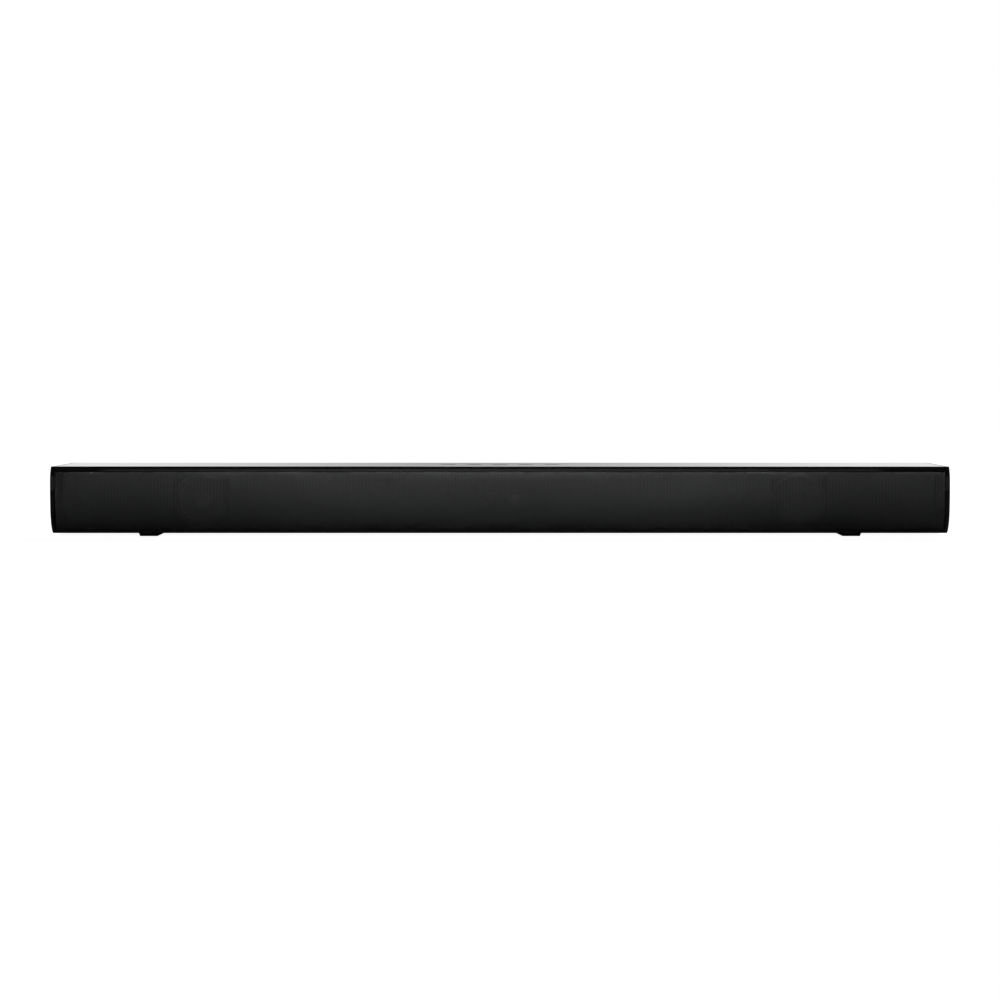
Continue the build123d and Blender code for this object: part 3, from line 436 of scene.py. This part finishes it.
def front_arcs():
    """Arcs of the grille's front as (centre, radius, first slope, last slope), from the bottom up."""
    def beside(centre, distance, slope):
        return (centre[0] - distance * cos(slope), centre[1] + distance * sin(slope))

    crown_turn, low_turn = asin(CROWN_HALF / CROWN_R), radians(LOW_TURN)
    crown = (FRONT_Y + CROWN_R, CROWN_Z)
    low = beside(crown, CROWN_R - LOW_R, -crown_turn)
    base_r = (low[1] - LOW_R * sin(low_turn) - BASE_Z) / (1 - sin(low_turn))
    base = beside(low, LOW_R - base_r, -low_turn)
    high = beside(crown, CROWN_R - HIGH_R, crown_turn)
    top_turn = asin((cad_high[2] - TOP_R - high[1]) / (HIGH_R - TOP_R))
    return [(base, base_r, -pi / 2, -low_turn), (low, LOW_R, -low_turn, -crown_turn),
            (crown, CROWN_R, -crown_turn, crown_turn), (high, HIGH_R, crown_turn, top_turn)]


def front_curve():
    """Depth, height and slope along the grille's front, with the length along it."""
    depth, height, slope = [], [], []
    for (cy, cz), radius, first, last in front_arcs():
        turns = np.linspace(first, last, 200)
        depth.append(cy - (radius - GRILLE_INSET) * np.cos(turns))
        height.append(cz + (radius - GRILLE_INSET) * np.sin(turns))
        slope.append(turns)
    y, z, turn = np.concatenate(depth), np.concatenate(height), np.concatenate(slope)
    low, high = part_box("front_grille")
    shown = (z >= low[2] + HEM) & (z <= high[2] - HEM)
    y, z, turn = y[shown], z[shown], turn[shown]
    length = np.concatenate([[0], np.cumsum(np.hypot(np.diff(y), np.diff(z)))])
    return length, y, z, turn


def hexagon(radius):
    """Corners of a hexagon that points left and right."""
    angles = np.arange(6) * pi / 3
    return np.stack([np.cos(angles), np.sin(angles)], axis=1) * radius


def perforated_field(x0, height, first_column, columns, pitch_x):
    """Flat perforated web over part of the sheet: its points and its quads round each hole."""
    hole_band = height - 2 * (EDGE_MARGIN + HOLE_R)
    rows = round(hole_band / HOLE_PITCH + 0.5)
    pitch_z = hole_band / (rows - 0.5)
    start = EDGE_MARGIN + HOLE_R
    column, row = np.meshgrid(np.arange(columns), np.arange(rows), indexing="ij")
    odd = (column + first_column) % 2
    middle = np.stack([x0 + (column + 0.5) * pitch_x, start + (row + odd / 2) * pitch_z], axis=-1)
    hole = middle.reshape(-1, 1, 2) + hexagon(HOLE_R)
    corner = np.array([[2, 0], [1, 1], [-1, 1], [-2, 0], [-1, -1], [1, -1]])
    knot = np.stack([3 * column, 2 * row + odd], axis=-1).reshape(-1, 1, 2) + corner
    last = 2 * rows - 1
    knot[..., 1] = np.clip(knot[..., 1], 0, last)
    shared, index = np.unique(knot.reshape(-1, 2), axis=0, return_inverse=True)
    rise = start + shared[:, 1] * pitch_z / 2
    rise = np.where(shared[:, 1] == 0, 0.0, np.where(shared[:, 1] == last, height, rise))
    web = np.stack([x0 + (shared[:, 0] / 3 + 0.5) * pitch_x, rise], axis=-1)
    corners = index.reshape(-1, 6)
    holes = np.arange(corners.size).reshape(-1, 6) + len(web)
    quads = np.stack([corners, np.roll(corners, -1, 1), np.roll(holes, -1, 1), holes], axis=-1)
    return np.concatenate([web, hole.reshape(-1, 2)]), quads.reshape(-1, 4)


def grille_section(index, material):
    """One length of the perforated sheet, bent to the front's curve and as thick as the steel."""
    low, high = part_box("front_grille")
    total = int(round((high[0] - low[0]) / (HOLE_PITCH * sqrt(3) / 2)))
    pitch_x = (high[0] - low[0]) / total
    first = index * total // GRILLE_SECTIONS
    last = (index + 1) * total // GRILLE_SECTIONS
    length, y, z, turn = front_curve()
    flat, quads = perforated_field(low[0] + first * pitch_x, length[-1], first, last - first, pitch_x)
    along = flat[:, 1]
    slope = np.interp(along, length, turn)
    front = np.stack([np.clip(flat[:, 0], low[0], high[0]), np.interp(along, length, y),
                      np.interp(along, length, z)], axis=1)
    inward = np.stack([np.zeros_like(slope), np.cos(slope), -np.sin(slope)], axis=1)
    back = front + inward * GRILLE_T
    count = len(front)
    edges = np.concatenate([quads[:, [i, (i + 1) % 4]] for i in range(4)])
    code = edges[:, 0].astype(np.int64) * count + edges[:, 1]
    mirror = edges[:, 1].astype(np.int64) * count + edges[:, 0]
    rim = edges[~np.isin(code, mirror)]
    walls = np.stack([rim[:, 1], rim[:, 0], rim[:, 0] + count, rim[:, 1] + count], axis=1)
    faces = np.concatenate([quads, quads[:, ::-1] + count, walls])
    name = f"grille_{index + 1}"
    mesh = bpy.data.meshes.new(name)
    mesh.from_pydata(np.concatenate([front, back]).tolist(), [], faces.tolist())
    mesh.materials.append(material)
    mesh.shade_smooth()
    mesh.set_sharp_from_angle(angle=radians(40))
    sheet = bpy.data.objects.new(name, mesh)
    bpy.context.collection.objects.link(sheet)
    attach(sheet, "cabinet")
    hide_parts("front_grille")


def grille_pegs(material):
    """The pegs behind the sheet, each with a welded foot and a rounded end."""
    low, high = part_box("front_grille")
    driver_low, driver_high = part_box("left_driver_cone")
    z = (driver_low[2] + driver_high[2]) / 2
    y0, y1 = low[1] + PEG_START, high[1]
    profile = [(PEG_FOOT_R, y0), (0.7 * PEG_FOOT_R, y0 + 0.5 * MM), (PEG_R, y0 + 1.4 * MM),
               (PEG_R, y1 - 0.6 * MM), (PEG_R - 0.2 * MM, y1 - 0.2 * MM), (0.8 * MM, y1)]
    turns = [2 * pi * i / PEG_SIDES for i in range(PEG_SIDES)]
    points, faces = [], []
    for x in (side * x for side in (-1, 1) for x in PEG_X):
        first = len(points)
        points += [(x + r * cos(t), y, z + r * sin(t)) for r, y in profile for t in turns]
        for ring in range(len(profile) - 1):
            a, b = first + ring * PEG_SIDES, first + (ring + 1) * PEG_SIDES
            faces += [(a + i, a + (i + 1) % PEG_SIDES, b + (i + 1) % PEG_SIDES, b + i)
                      for i in range(PEG_SIDES)]
        faces.append(tuple(first + i for i in reversed(range(PEG_SIDES))))
        faces.append(tuple(len(points) - PEG_SIDES + i for i in range(PEG_SIDES)))
    mesh = bpy.data.meshes.new("grille_pegs")
    mesh.from_pydata(points, [], faces)
    mesh.materials.append(material)
    mesh.shade_smooth()
    mesh.set_sharp_from_angle(angle=radians(50))
    pegs = bpy.data.objects.new("grille_pegs", mesh)
    bpy.context.collection.objects.link(pegs)
    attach(pegs, "cabinet")
    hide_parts("front_grille")


# ---------------------------------------------------------------- assembly

bpy.context.scene.view_settings.view_transform = "Standard"
add_camera()
add_world()
build_stage()
finishes = build_materials()
finish_nodes(finishes)
for number in range(GRILLE_SECTIONS):
    grille_section(number, finishes["grille_steel"])
grille_pegs(finishes["baffle_black"])
